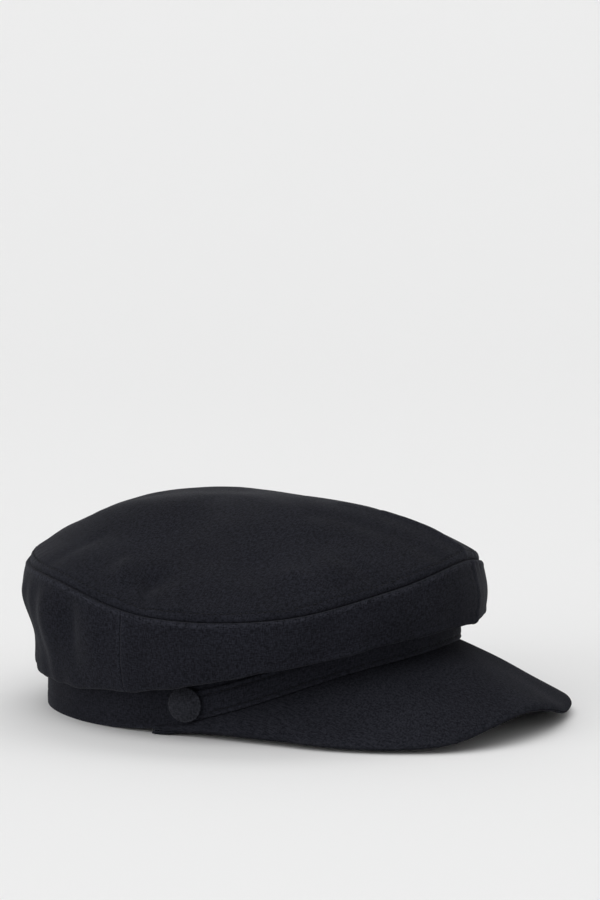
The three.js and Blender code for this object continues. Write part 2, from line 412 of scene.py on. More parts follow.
def grown(gaps: Array, axis: int) -> Array:
    """Lengths from the first line of a grid, summed along an axis.

    Args:
        gaps: grid of points, rows by columns by 3.
        axis: 0 down the columns, 1 along the rows.

    Returns:
        The length from the first line to each point.
    """
    steps = np.linalg.norm(np.diff(gaps, axis=axis), axis=-1)
    start = np.zeros_like(np.take(steps, [0], axis=axis))
    return np.concatenate([start, np.cumsum(steps, axis=axis)], axis=axis)


def run_length(line: Array) -> Array:
    """Length along a line of points, from its first point to each.

    Args:
        line: the points, one in a row.

    Returns:
        The length at each point.
    """
    return np.concatenate([[0], np.cumsum(np.linalg.norm(np.diff(line, axis=0), axis=1))])


def between(where: Array | float, length: Array, values: Array) -> Array:
    """Vectors between the points of a line, such as a place on it or its normal.

    Args:
        where: lengths along the line.
        length: the length at each of its points.
        values: a vector for each of its points.

    Returns:
        The vectors at those lengths.
    """
    return np.stack([np.interp(where, length, values[:, k]) for k in range(3)], axis=-1)


def unit(vectors: Array) -> Array:
    """Vectors brought to length 1.

    Args:
        vectors: the vectors, along the last axis.

    Returns:
        The unit vectors.
    """
    return vectors / np.linalg.norm(vectors, axis=-1, keepdims=True)


def roll(distance: Array, radius: float) -> Array:
    """How far a rounded edge has dropped, from 1 at the edge to 0 at its radius.

    Args:
        distance: distance from the edge.
        radius: radius of the round.

    Returns:
        The share of the drop.
    """
    t = 1 - np.clip(np.asarray(distance, float) / radius, 0, 1)
    return 1 - np.sqrt(1 - t * t)


@dataclass(frozen=True)
class Ripple:
    """A soft uneven relief, the same on every run: waves of like length in many directions."""

    length: float
    seed: int
    waves: int = 14
    spread: float = 0.35

    def at(self, points: Array, stretch: tuple[float, float, float] = (1, 1, 1)) -> Array:
        """Height of the relief, about -2 to 2, at each point.

        Args:
            points: points in mm, the last axis being x, y, z or fewer.
            stretch: how much longer the waves are along each axis.

        Returns:
            The relief at each point.
        """
        draw = np.random.default_rng(self.seed)
        axes = points.shape[-1]
        ways = draw.normal(size=(self.waves, axes))
        ways /= np.linalg.norm(ways, axis=1, keepdims=True)
        turns = 2 * math.pi / (self.length * (1 + self.spread * draw.uniform(-1, 1, self.waves)))
        starts = draw.uniform(0, 2 * math.pi, self.waves)
        scaled = points / np.array(stretch[:axes], float)
        total = np.zeros(points.shape[:-1])
        for way, turn, start in zip(ways, turns, starts):
            total += np.cos(scaled @ way * turn + start)
        return total / math.sqrt(self.waves / 2)


def patchy(points: Array, length: float, seed: int) -> Array:
    """A share of about 0.6 that varies from place to place, for uneven wear and painted highlight.

    Args:
        points: points in mm.
        length: length of its waves.
        seed: which set of waves.

    Returns:
        The share at each point.
    """
    return 0.6 + 0.4 * Ripple(length, seed).at(points)


@dataclass(frozen=True)
class CapForm:
    """The cap's main form, in a few sizes and the tables above."""

    band_length: float = 200.0
    band_width: float = 168.0
    cloth: float = 2.0
    gap: float = 0.3
    hem: float = 8.0
    tuck: float = 4.0
    tuck_ease: float = 0.5
    front_seam: float = -5.0
    side_seam: float = 97.0
    apex_forward: float = -14.0
    apex_height: float = 100.0
    left_fuller: float = 1.0
    peak_root_up: float = 1.0
    peak_root_lowest: float = 4.2
    peak_bow: float = 0.015

    def normal(self, angle: Array | float) -> tuple[Array, Array]:
        """Outward direction of the band's oval.

        Args:
            angle: angles in degrees.

        Returns:
            Its forward and right shares.
        """
        turn = np.radians(angle)
        forward, right = np.cos(turn) / self.band_length, np.sin(turn) / self.band_width
        size = np.hypot(forward, right)
        return forward / size, right / size

    def outward(self, angle: Array | float) -> Array:
        """Level vectors of length 1 that point out of the band's oval.

        Args:
            angle: angles in degrees.

        Returns:
            The vectors.
        """
        return place(*self.normal(angle), 0)

    def oval(self, angle: Array | float, out: Array | float) -> tuple[Array, Array]:
        """Plan of the head, moved outwards.

        Args:
            angle: angles in degrees.
            out: distance outside the band's face.

        Returns:
            The way forward and to the right.
        """
        turn = np.radians(angle)
        forward, right = self.normal(angle)
        return (np.cos(turn) * self.band_length / 2 + out * forward,
                np.sin(turn) * self.band_width / 2 + out * right)

    def on_oval(self, angle: Array | float, out: Array | float, z: Array | float) -> Array:
        """Points at an angle, a distance outside the band's face and a height.

        Args:
            angle: angles in degrees.
            out: distance outside the band's face.
            z: height.

        Returns:
            The points.
        """
        return place(*self.oval(angle, out), z)

    def band_edge(self, angle: Array) -> Array:
        """Height of the band's lower edge.

        Args:
            angle: angles in degrees.

        Returns:
            The height at each angle.
        """
        return np.maximum(0, column(BAND_EDGE, "z", angle))

    def tip(self, angle: Array | float, along: Array | float) -> Array:
        """Points of the crown's top before its dents.

        Args:
            angle: angles in degrees.
            along: share of the way from the highest point to the rim.

        Returns:
            The points.
        """
        forward, right = self.oval(angle, column(WALL, "rim_out", angle))
        rim_z = column(WALL, "rim_z", angle) + self.gap / 2 + self.cloth
        power = column(BULGE, "power", angle)
        power = power + self.left_fuller * np.maximum(0, -np.sin(np.radians(angle)))
        z = rim_z + (self.apex_height - rim_z) * (1 - along**power)
        return place(self.apex_forward + (forward - self.apex_forward) * along, right * along, z)

    def wall(self, angle: Array, share: Array) -> Array:
        """Points of the crown's wall before its folds.

        Args:
            angle: angles in degrees.
            share: share of the way from the rim down, round the fold and up the band's face.

        Returns:
            The points.
        """
        lines = [(column(WALL, f"{line}_out", angle), column(WALL, f"{line}_z", angle))
                 for line in ("rim", "belly", "waist", "fold")]
        fold_z = lines[3][1]
        lines[0] = (lines[0][0], lines[0][1] - self.gap / 2)
        flush = np.full_like(fold_z, self.gap)
        lines += [(flush + self.tuck_ease, fold_z + self.tuck), (flush, fold_z + self.hem)]
        stack = np.array(lines)
        last = len(lines) - 1
        step = np.clip(np.floor(share * last).astype(int), 0, last - 1)
        t = share * last - step
        rows = [np.clip(step + k, 0, last) for k in (-1, 0, 1, 2)]
        cells = np.indices(step.shape)
        a, b, c, d = (np.stack([stack[(row, 0, *cells)], stack[(row, 1, *cells)]]) for row in rows)
        out, z = curve_between(t, 1.0, b, c, (c - a) / 2, (d - b) / 2)
        return self.on_oval(angle, np.maximum(out, self.gap), z)


FORM = CapForm()


def linear(hex_colour: str) -> tuple[float, float, float, float]:
    """An sRGB hex colour as a linear colour.

    Args:
        hex_colour: six hex digits after a #.

    Returns:
        Linear red, green and blue, and alpha 1.
    """
    parts = [int(hex_colour[i:i + 2], 16) / 255 for i in (1, 3, 5)]
    red, green, blue = (p / 12.92 if p <= 0.04045 else ((p + 0.055) / 1.055) ** 2.4 for p in parts)
    return red, green, blue, 1.0


def add_node(tree: bpy.types.NodeTree, kind: str, settings: dict[str, Any] | None = None,
             inputs: dict[int | str, Any] | None = None) -> bpy.types.Node:
    """Adds a node with its settings and links.

    Args:
        tree: the material's node tree.
        kind: the node's type.
        settings: attributes of the node.
        inputs: values or linked sockets, by the input's name or number.

    Returns:
        The node.
    """
    node = tree.nodes.new(kind)
    for name, value in (settings or {}).items():
        setattr(node, name, value)
    for key, value in (inputs or {}).items():
        if isinstance(value, bpy.types.NodeSocket):
            tree.links.new(value, node.inputs[key])
        else:
            node.inputs[key].default_value = value
    return node


def empty_material(name: str) -> tuple[bpy.types.Material, bpy.types.NodeTree]:
    """A new material without nodes.

    Args:
        name: its name.

    Returns:
        The material and its node tree.
    """
    material = bpy.data.materials.new(name)
    material.use_nodes = True
    material.node_tree.nodes.clear()
    return material, material.node_tree


@dataclass(frozen=True)
class BrushedCotton:
    """Brushed woven cotton, dyed nearly black: matt, with a soft light nap that shows edge-on."""

    name: str
    colour: str
    light: str
    worn_and_highlight: str
    thread_mm: float = 0.55
    float_mm: float = 2.2
    weave_depth_mm: float = 0.08
    nap_mm: float = 1.0
    nap_depth_mm: float = 0.14
    nap_share: float = 1.4
    flecks_from: float = 1.4
    flecks_to: float = 2.0
    patch_mm: float = 30.0
    patch_contrast: float = 0.1
    sheen: float = 0.06
    specular: float = 0.1
    roughness: float = 0.95

    def make(self) -> bpy.types.Material:
        """Builds the material: warp and weft on the cloth's own UV, and nap, melange, and wear with painted highlight.

        Returns:
            The material.
        """
        material, tree = empty_material(self.name)
        place_at = add_node(tree, "ShaderNodeTexCoord").outputs["Object"]
        # Real threads lie about 0.25 mm apart; they are drawn wider, so that they show.
        fine, long = 1 / (self.thread_mm * MM), 1 / (self.float_mm * MM)
        warp = self._threads(tree, (fine, long, 1))
        weft = self._threads(tree, (long, fine, 1))
        weave = add_node(tree, "ShaderNodeMath", {"operation": "ADD"}, {0: warp, 1: weft}).outputs["Value"]
        nap = add_node(tree, "ShaderNodeTexNoise", None,
                       {"Vector": place_at, "Scale": 1 / (self.nap_mm * MM), "Detail": 4.0,
                        "Roughness": 0.7}).outputs["Fac"]
        fuzz = add_node(tree, "ShaderNodeMath", {"operation": "MULTIPLY_ADD"},
                        {0: nap, 1: self.nap_share, 2: weave}).outputs["Value"]
        flecks = add_node(tree, "ShaderNodeMapRange", None,
                          {"Value": fuzz, "From Min": self.flecks_from,
                           "From Max": self.flecks_to}).outputs["Result"]
        flecked = add_node(tree, "ShaderNodeMix", {"data_type": "RGBA"},
                           {"Factor": flecks, 6: linear(self.colour), 7: linear(self.light)}).outputs[2]
        patches = add_node(tree, "ShaderNodeTexNoise", None,
                           {"Vector": place_at, "Scale": 1 / (self.patch_mm * MM),
                            "Detail": 3.0}).outputs["Fac"]
        tone = add_node(tree, "ShaderNodeMapRange", None,
                        {"Value": patches, "From Min": 0.3, "From Max": 0.7,
                         "To Min": 1 - self.patch_contrast,
                         "To Max": 1 + self.patch_contrast}).outputs["Result"]
        shaded = add_node(tree, "ShaderNodeVectorMath", {"operation": "SCALE"},
                          {0: flecked, "Scale": tone}).outputs["Vector"]
        # A lighter colour is mixed in where the cloth is rubbed and where a highlight is painted on edges, ridges and
        # folds.
        wear_and_highlight = add_node(tree, "ShaderNodeAttribute", {"attribute_name": "wear_and_highlight"}).outputs["Fac"]
        rubbed_and_highlight = add_node(tree, "ShaderNodeMath", {"operation": "MULTIPLY"},
                          {0: wear_and_highlight, 1: flecks}).outputs["Value"]
        base = add_node(tree, "ShaderNodeMix", {"data_type": "RGBA"},
                        {"Factor": rubbed_and_highlight, 6: shaded, 7: linear(self.worn_and_highlight)}).outputs[2]
        woven = add_node(tree, "ShaderNodeBump", None,
                         {"Height": weave, "Strength": 1.0,
                          "Distance": self.weave_depth_mm * MM}).outputs["Normal"]
        relief = add_node(tree, "ShaderNodeBump", None,
                          {"Height": nap, "Strength": 1.0, "Distance": self.nap_depth_mm * MM,
                           "Normal": woven}).outputs["Normal"]
        shader = add_node(tree, "ShaderNodeBsdfPrincipled", None,
                          {"Base Color": base, "Roughness": self.roughness, "IOR": 1.5,
                           "Specular IOR Level": self.specular, "Sheen Weight": self.sheen,
                           "Sheen Roughness": 0.3, "Sheen Tint": linear("#D5D6DE"),
                           "Normal": relief}).outputs["BSDF"]
        add_node(tree, "ShaderNodeOutputMaterial", None, {"Surface": shader})
        return material

    def _threads(self, tree: bpy.types.NodeTree, scale: tuple[float, float, float]) -> bpy.types.NodeSocket:
        """Uneven threads that run along one side of the cloth.

        Args:
            tree: the material's node tree.
            scale: threads per metre across and along.

        Returns:
            The socket with their height.
        """
        uv = add_node(tree, "ShaderNodeUVMap", {"uv_map": "cloth"}).outputs["UV"]
        drawn = add_node(tree, "ShaderNodeMapping", None, {"Vector": uv, "Scale": scale}).outputs["Vector"]
        return add_node(tree, "ShaderNodeTexNoise", None,
                        {"Vector": drawn, "Scale": 1.0, "Detail": 1.0}).outputs["Fac"]


@dataclass(frozen=True)
class SewingThread:
    """Twisted cotton sewing thread: smoother than the cloth, with a slight gloss along its twist."""

    name: str = "cotton_thread"
    colour: str = "#08080B"
    light: str = "#111216"
    twist_mm: float = 0.5
    roughness: float = 0.7

    def make(self) -> bpy.types.Material:
        """Builds the material.

        Returns:
            The material.
        """
        material, tree = empty_material(self.name)
        place_at = add_node(tree, "ShaderNodeTexCoord").outputs["Object"]
        twist = add_node(tree, "ShaderNodeTexNoise", None,
                         {"Vector": place_at, "Scale": 1 / (self.twist_mm * MM),
                          "Detail": 2.0}).outputs["Fac"]
        base = add_node(tree, "ShaderNodeMix", {"data_type": "RGBA"},
                        {"Factor": twist, 6: linear(self.colour), 7: linear(self.light)}).outputs[2]
        shader = add_node(tree, "ShaderNodeBsdfPrincipled", None,
                          {"Base Color": base, "Roughness": self.roughness,
                           "Specular IOR Level": 0.15}).outputs["BSDF"]
        add_node(tree, "ShaderNodeOutputMaterial", None, {"Surface": shader})
        return material


@dataclass(frozen=True)
class MattPaper:
    """Seamless studio paper, pale grey and quite matt, with the faintest tooth."""

    name: str = "studio_paper"
    colour: str = "#EBEBEB"
    tooth_per_metre: float = 900.0

    def make(self) -> bpy.types.Material:
        """Builds the material.

        Returns:
            The material.
        """
        material, tree = empty_material(self.name)
        place_at = add_node(tree, "ShaderNodeTexCoord").outputs["Object"]
        tooth = add_node(tree, "ShaderNodeTexNoise", None,
                         {"Vector": place_at, "Scale": self.tooth_per_metre}).outputs["Fac"]
        normal = add_node(tree, "ShaderNodeBump", None,
                          {"Height": tooth, "Strength": 0.05, "Distance": 0.05 * MM}).outputs["Normal"]
        shader = add_node(tree, "ShaderNodeBsdfPrincipled", None,
                          {"Base Color": linear(self.colour), "Roughness": 1.0,
                           "Specular IOR Level": 0.0, "Normal": normal}).outputs["BSDF"]
        add_node(tree, "ShaderNodeOutputMaterial", None, {"Surface": shader})
        return material


class Slot(Enum):
    """The record's material slots."""

    CROWN = "crown_cotton"
    BAND = "band_cotton"
    PEAK = "peak_cotton"
    BUTTON = "button_cotton"


@dataclass
class Wardrobe:
    """The cap's finishes, each made once. The band, peak and button take lighter copies of the crown's cloth: painted
    light, standing in for how light falls on each part.
    """

    crown: bpy.types.Material = field(default_factory=lambda: BrushedCotton(
        "brushed_cotton_crown", "#0D0E13", "#202128", "#303139").make())
    band: bpy.types.Material = field(default_factory=lambda: BrushedCotton(
        "brushed_cotton_band", "#111217", "#22232A", "#2E2F37").make())
    peak: bpy.types.Material = field(default_factory=lambda: BrushedCotton(
        "brushed_cotton_peak", "#14151A", "#27282E", "#34353B", sheen=0.0, specular=0.04).make())
    button: bpy.types.Material = field(default_factory=lambda: BrushedCotton(
        "brushed_cotton_button_cover", "#191A1E", "#2D2E34", "#3A3B41").make())
    thread: bpy.types.Material = field(default_factory=lambda: SewingThread().make())


def alone(obj: bpy.types.Object) -> None:
    """Selects one object and makes it active.

    Args:
        obj: the object.
    """
    bpy.ops.object.select_all(action="DESELECT")
    obj.select_set(True)
    bpy.context.view_layer.objects.active = obj


def finish_with(obj: bpy.types.Object, kind: str, **settings: Any) -> None:
    """Adds a modifier to a piece and applies it.

    Args:
        obj: the piece.
        kind: the modifier's type.
        **settings: its settings.
    """
    alone(obj)
    modifier = obj.modifiers.new(kind.title(), kind)
    for name, value in settings.items():
        setattr(modifier, name, value)
    bpy.ops.object.modifier_apply(modifier=modifier.name)


def vectors_of(items: bpy.types.bpy_prop_collection, name: str) -> Array:
    """One vector of every vertex or face of a mesh.

    Args:
        items: the mesh's vertices or faces.
        name: the vector's name.

    Returns:
        The vectors, one in a row.
    """
    vectors = np.empty(len(items) * 3, np.float32)
    items.foreach_get(name, vectors)
    return vectors.reshape(-1, 3).astype(float)


def in_metres(points: Array) -> Array:
    """Points in mm in the cap's frame as points in metres in the shared frame.

    Args:
        points: the points, one in a row.

    Returns:
        The moved points.
    """
    return points * MM + np.array([0, ORIGIN_Y, 0])


def write_points(obj: bpy.types.Object, points: Array) -> None:
    """Moves a mesh's vertices.

    Args:
        obj: the piece.
        points: a point in metres for each vertex.
    """
    obj.data.vertices.foreach_set("co", points.astype(np.float32).ravel())
    obj.data.update()


def write_cloth(obj: bpy.types.Object, flat: Array, wear_and_highlight: Array) -> None:
    """Lays the cloth's own flat coordinates, and its wear and painted highlight, on a mesh.

    Args:
        obj: the piece.
        flat: each vertex's place on the flat cloth, in mm.
        wear_and_highlight: how rubbed the cloth is there and how much highlight is painted on it, from 0 to 1.
    """
    layer = obj.data.uv_layers[0]
    layer.name = "cloth"
    corners = np.empty(len(obj.data.loops), np.int32)
    obj.data.loops.foreach_get("vertex_index", corners)
    layer.data.foreach_set("uv", (flat[corners] * MM).astype(np.float32).ravel())
    attribute = obj.data.attributes.new("wear_and_highlight", "FLOAT", "POINT")
    attribute.data.foreach_set("value", np.clip(wear_and_highlight, 0, 1).astype(np.float32))


def face_outwards(obj: bpy.types.Object) -> None:
    """Turns the faces of a closed piece outwards and shades it smooth.

    Args:
        obj: the piece.
    """
    alone(obj)
    bpy.ops.object.mode_set(mode="EDIT")
    bpy.ops.mesh.select_all(action="SELECT")
    bpy.ops.mesh.normals_make_consistent(inside=False)
    bpy.ops.object.mode_set(mode="OBJECT")
    bpy.ops.object.shade_smooth()


def grid_normals(points: Array) -> Array:
    """Normals of a grid of points.

    Args:
        points: rows by columns by 3.

    Returns:
        A unit normal for each point.
    """
    normal = np.cross(np.gradient(points, axis=1), np.gradient(points, axis=0))
    size = np.linalg.norm(normal, axis=-1, keepdims=True)
    return normal / np.maximum(size, 1e-9)


class Outside(Enum):
    """Where the outer face of a sheet looks, for turning its faces the right way."""

    AWAY = "away"
    UP = "up"
    DOWN = "down"


class Held(Enum):
    """How sewing holds a sheet of cloth."""

    FOLDED = "folded"
    STRETCHED = "stretched"


@dataclass
class Sheet:
    """A piece of cut cloth: a grid of outer points, given a thickness inwards."""

    name: str
    points: Array
    uv: Array
    wear_and_highlight: Array
    outside: Outside
    ring: bool = False
    thickness: float = 1.5
    edge_round: float = 0.35
    sharp_angle: float = math.radians(55)
    smooth_angle: float = math.radians(50)

    def build(self) -> bpy.types.Object:
        """Adds a grid, moves it onto the points and gives it its thickness and round edges.

        Returns:
            The finished piece.
        """
        rows, columns = self.points.shape[:2]
        bpy.ops.mesh.primitive_grid_add(x_subdivisions=columns - 1, y_subdivisions=rows - 1, size=2)
        obj = bpy.context.object
        obj.name = obj.data.name = self.name
        start = vectors_of(obj.data.vertices, "co")
        i = np.rint((start[:, 0] + 1) / 2 * (columns - 1)).astype(int)
        j = np.rint((start[:, 1] + 1) / 2 * (rows - 1)).astype(int)
        write_points(obj, in_metres(self.points[j, i]))
        write_cloth(obj, self.uv[j, i], self.wear_and_highlight[j, i])
        self._close(obj)
        finish_with(obj, "SOLIDIFY", thickness=self.thickness * MM, offset=-1.0, use_even_offset=False)
        finish_with(obj, "BEVEL", width=self.edge_round * MM, segments=2, limit_method="ANGLE",
                    angle_limit=self.sharp_angle, harden_normals=False)
        alone(obj)
        bpy.ops.object.shade_smooth_by_angle(angle=self.smooth_angle)
        return obj

    def declare(self, obj: bpy.types.Object, held: Held, rests_on: Sequence[str],
                with_pieces: Sequence[bpy.types.Object] = (), curved: bool = False) -> None:
        """Says what size the cloth was cut to, from its flat coordinates and its own area.

        Args:
            obj: the finished piece.
            held: how its seams hold it.
            rests_on: names of the pieces that carry it.
            with_pieces: stitches that lie on it.
            curved: whether it is a crescent or a strip, measured by its breadth and along its middle.
        """
        if curved:
            middle = self.points[len(self.points) // 2]
            sides = grown(self.points, 0)[-1].max(), np.linalg.norm(np.diff(middle, axis=0), axis=1).sum()
        else:
            sides = np.ptp(self.uv.reshape(-1, 2), axis=0)
        width, length = (float(side) * MM for side in sides)
        across, down = np.diff(self.points, axis=1)[:-1], np.diff(self.points, axis=0)[:, :-1]
        area = float(np.linalg.norm(np.cross(across, down), axis=-1).sum()) * MM**2
        LOG.info("%s: cut %.0f by %.0f mm, %.0f cm2", self.name, width / MM, length / MM, area * 1e4)
        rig.sheet(obj, flat=(width, length), held=held.value, rests_on=list(rests_on),
                 area=min(area, width * length), with_pieces=list(with_pieces))

    def _close(self, obj: bpy.types.Object) -> None:
        """Joins a ring's two ends, and turns the faces to look outside.

        Args:
            obj: the piece.
        """
        alone(obj)
        bpy.ops.object.mode_set(mode="EDIT")
        bpy.ops.mesh.select_all(action="SELECT")
        if self.ring:
            bpy.ops.mesh.remove_doubles(threshold=1e-6)
        bpy.ops.object.mode_set(mode="OBJECT")
        if self.outside is Outside.AWAY:
            way = (vectors_of(obj.data.polygons, "center") - [0, ORIGIN_Y, 0]) * [1, 1, 0]
        else:
            way = np.array([0, 0, 1 if self.outside is Outside.UP else -1])
        if (vectors_of(obj.data.polygons, "normal") * way).sum() < 0:
            bpy.ops.object.mode_set(mode="EDIT")
            bpy.ops.mesh.select_all(action="SELECT")
            bpy.ops.mesh.flip_normals()
            bpy.ops.object.mode_set(mode="OBJECT")


def stations(dense: Sequence[float], end: float, count: int) -> Array:
    """Places that lie close together at an edge and then evenly.

    Args:
        dense: the first places.
        end: the last place.
        count: how many even steps follow the dense ones.

    Returns:
        The places.
    """
    return np.concatenate([dense, np.linspace(dense[-1], end, count + 1)[1:]])


def both_ends(length: float, step: float) -> Array:
    """Places along a length, dense at both ends.

    Args:
        length: the whole length.
        step: the even step between the ends.

    Returns:
        The places from 0 to the length.
    """
    middle_count = max(2, round((length - 2 * LIP[-1]) / step))
    middle = np.linspace(LIP[-1], length - LIP[-1], middle_count + 1)[1:-1]
    return np.concatenate([LIP, middle, length - LIP[::-1]])


@dataclass
class Stitches:
    """A row of straight lockstitches lying on a sheet."""

    name: str
    pitch: float = 2.8
    length: float = 2.15
    width: float = 0.5
    sides: int = 6
    rise: float = 0.42
    sunk: float = 0.1
    flatness: float = 0.8

    def build(self, path: Array, normals: Array) -> bpy.types.Object:
        """Models one stitch and repeats it along the path, all in one mesh.

        Args:
            path: points of the seam line, in mm.
            normals: the sheet's outward normal at each point.

        Returns:
            The piece.
        """
        line = run_length(path)
        starts = np.arange(self.pitch / 2, line[-1] - self.pitch / 2, self.pitch)
        bpy.ops.mesh.primitive_uv_sphere_add(segments=self.sides, ring_count=4, radius=1)
        obj = bpy.context.object
        obj.name = obj.data.name = self.name
        seed = vectors_of(obj.data.vertices, "co")
        faces = [tuple(p.vertices) for p in obj.data.polygons]
        points, polygons = [], []
        for number, middle in enumerate(starts):
            before, after = (between(middle + way * self.pitch / 2, line, path) for way in (-1, 1))
            tangent = unit(after - before)
            normal = between(middle, line, normals)
            normal = unit(normal - tangent * (normal @ tangent))
            side = np.cross(normal, tangent)
            lift = self.rise * self.width * (1 - seed[:, 2:] ** 2) - self.sunk
            body = (seed[:, 2:] * tangent * self.length / 2 + seed[:, :1] * side * self.width / 2
                    + (seed[:, 1:2] * self.width / 2 * self.flatness + lift) * normal)
            points.append(between(middle, line, path) + body)
            polygons += [tuple(v + number * len(seed) for v in face) for face in faces]
        mesh = bpy.data.meshes.new(self.name)
        mesh.from_pydata(in_metres(np.concatenate(points)).tolist(), [], polygons)
        obj.data = mesh
        face_outwards(obj)
        return obj


def register(obj: bpy.types.Object, material: bpy.types.Material, slot: Slot,
             *nodes: str) -> bpy.types.Object:
    """Gives a piece its finish, lets it ride on the cap and names its slot and the nodes it stands for.

    Args:
        obj: the piece.
        material: its finish.
        slot: the record's slot.
        *nodes: the nodes that it replaces.

    Returns:
        The piece.
    """
    obj.data.materials.append(material)
    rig.ride(obj, "root")
    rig.slot(obj, slot.value)
    if nodes:
        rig.replaces(obj, *nodes)
    LOG.info("%s: %d faces, stands for %s", obj.name, len(obj.data.polygons), ", ".join(nodes) or "no node")
    return obj


@dataclass
class Crown:
    """The soft crown: a domed top and three wall panels, seamed and topstitched."""

    wardrobe: Wardrobe
    rings: int = 84
    mean_reach: float = 100.0
    wall_reach: float = 75.0
    column_step: float = 1.15
    row_count: int = 56
    thickness: float = 1.5
    stitch_from_seam: float = 3.0
    groove: float = 0.3
    rim_puckers: tuple[float, int] = (7.0, 21)
    wall_puckers: tuple[float, int] = (5.0, 31)
    side_puckers: tuple[float, int] = (5.0, 41)
    edge_drop: float = 2.3
    edge_in: float = 1.9
    shoulder: float = 5.5
    turned_in: float = 2.2
    fold_lift: float = 3.0
    fold_reach: float = 26.0
    hidden_from: float = 0.62
    seam_gap: float = 0.06
    front_mm_per_degree: float = 1.9
    allowance: tuple[float, ...] = (4.0, 2.6, 1.5, 0.7)
    panels: dict[str, tuple[float, float]] = field(default_factory=lambda: {
        "side_front_right": (FORM.front_seam, FORM.side_seam),
        "side_front_left": (-FORM.side_seam, FORM.front_seam),
        "side_back": (FORM.side_seam, 360 - FORM.side_seam),
    })

    def build(self) -> None:
        """Builds the top, its stitches and the wall panels."""
        self._top()
        for node, (start, end) in self.panels.items():
            self._panel(node, start, end)

    def _puckers(self, around: Array, from_seam: Array, reach: float, seed: int) -> Array:
        """Small slanting puckers that a seam draws in the cloth beside it.

        Args:
            around: length along the seam.
            from_seam: distance from the seam.
            reach: how far they run into the cloth.
            seed: which set of puckers.

        Returns:
            The relief in mm.
        """
        line = np.stack([around + 0.5 * from_seam, 0.15 * from_seam], axis=-1)
        fine = Ripple(7.0, seed).at(line)
        uneven = ease(0.5 + 0.5 * Ripple(55.0, seed + 1).at(line))
        return 0.17 * fine * uneven * np.exp(-from_seam / reach)

    def _top_shape(self) -> tuple[Array, Array, Array, Array]:
        """Points of the top, with their angle, distance from the rim and flat place.

        Returns:
            The points, angles, distances and flat coordinates, all as square grids.
        """
        half = self.rings
        # Each square of the grid becomes a ring of the top, so that the top has no pole.
        a, b = np.meshgrid(np.arange(-half, half + 1), np.arange(-half, half + 1))
        ring = np.maximum(np.abs(a), np.abs(b))
        wide = np.abs(a) >= np.abs(b)
        safe_a, safe_b = np.where(a == 0, 1, a), np.where(b == 0, 1, b)
        turn = np.where(wide, 45 * b / safe_a + np.where(a < 0, 180, 0),
                        90 - 45 * a / safe_b + np.where(b < 0, 180, 0))
        angle = turned(turn)
        inner = np.linspace(0, self.mean_reach - LIP[-1], half - len(LIP) + 2)
        along = np.concatenate([inner, self.mean_reach - LIP[::-1][1:]]) / self.mean_reach
        share = along[ring]
        points = FORM.tip(angle, share)
        rim = FORM.tip(angle, 1.0)
        reach = np.hypot(rim[..., 0], rim[..., 1] + FORM.apex_forward)
        from_rim = (1 - share) * reach
        return points, angle, from_rim, points[..., :2].copy()

    def _dented(self, points: Array, from_rim: Array) -> tuple[Array, Array]:
        """Dents, humps and creases of the top.

        Args:
            points: points of the top before them.
            from_rim: their distance from the rim.

        Returns:
            How far each point rises, and how much lighter cloth is laid there, as rubbing and a painted highlight on
            the ridges.
        """
        rise, rubbed_and_highlight = np.zeros(points.shape[:-1]), np.zeros(points.shape[:-1])
        for dent in TIP_DENTS:
            middle = FORM.tip(dent.at, dent.along)
            away = np.hypot(points[..., 0] - middle[0], points[..., 1] - middle[1])
            rise += dent.rise * bell(away, dent.reach) * np.minimum(1, from_rim / 12)
        for crease in TIP_CREASES:
            start = FORM.tip(crease.from_at, crease.from_along)
            end = FORM.tip(crease.to_at, crease.to_along)
            line = bell(from_line(points, start, end), crease.reach)
            rise += crease.rise * line * ease(0.2 + from_rim / 6)
            # Lighter cloth along each crease: a painted highlight on the ridge, with some rubbing.
            rubbed_and_highlight += crease.rubbed_and_highlight * line
        return rise, rubbed_and_highlight

    def _top(self) -> None:
        """The domed top panel, with its dents, rolled edge and the topstitching round it."""
        points, angle, from_rim, flat = self._top_shape()
        rise, rubbed_and_highlight = self._dented(points, from_rim)
        points[..., 2] += rise
        soft = 0.5 * Ripple(48.0, 3).at(points, (1, 1.3, 1)) + 0.1 * Ripple(21.0, 4).at(points)
        points[..., 2] += soft * ease(from_rim / 25)
        around = np.radians(angle) * RIM_RADIUS
        # A low welt beside the rim, and then the groove that the stitches draw.
        relief = 0.08 * bell(from_rim - 1.7, 1.2) - self.groove * bell(from_rim - self.stitch_from_seam, 0.7)
        relief += self._puckers(around, from_rim, *self.rim_puckers) * ease(from_rim / 1.5)
        normals = grid_normals(points)
        points += normals * relief[..., None] * np.sign(normals[..., 2:].mean())
        drop = self.edge_drop * roll(from_rim, self.shoulder * 0.6)
        inward = self.edge_in * roll(from_rim, self.shoulder)
        points -= FORM.outward(angle) * inward[..., None]
        points[..., 2] -= drop
        # Lighter cloth along the rolled rim, rubbing and a painted highlight on the edge, and the creases' painted
        # highlight.
        wear_and_highlight = 0.3 * bell(from_rim - 1.2, 1.8) * patchy(points, 30.0, 8) + rubbed_and_highlight
        turn = np.radians(angle)
        flat = flat + drop[..., None] * np.stack([-np.sin(turn), -np.cos(turn)], axis=-1)
        sheet = Sheet("cap_tip", points, flat, wear_and_highlight, Outside.UP, thickness=self.thickness)
        top = register(sheet.build(), self.wardrobe.crown, Slot.CROWN, "tip")
        sheet.declare(top, Held.STRETCHED, [f"cap_{node}" for node in self.panels], [self._rim_stitches()])

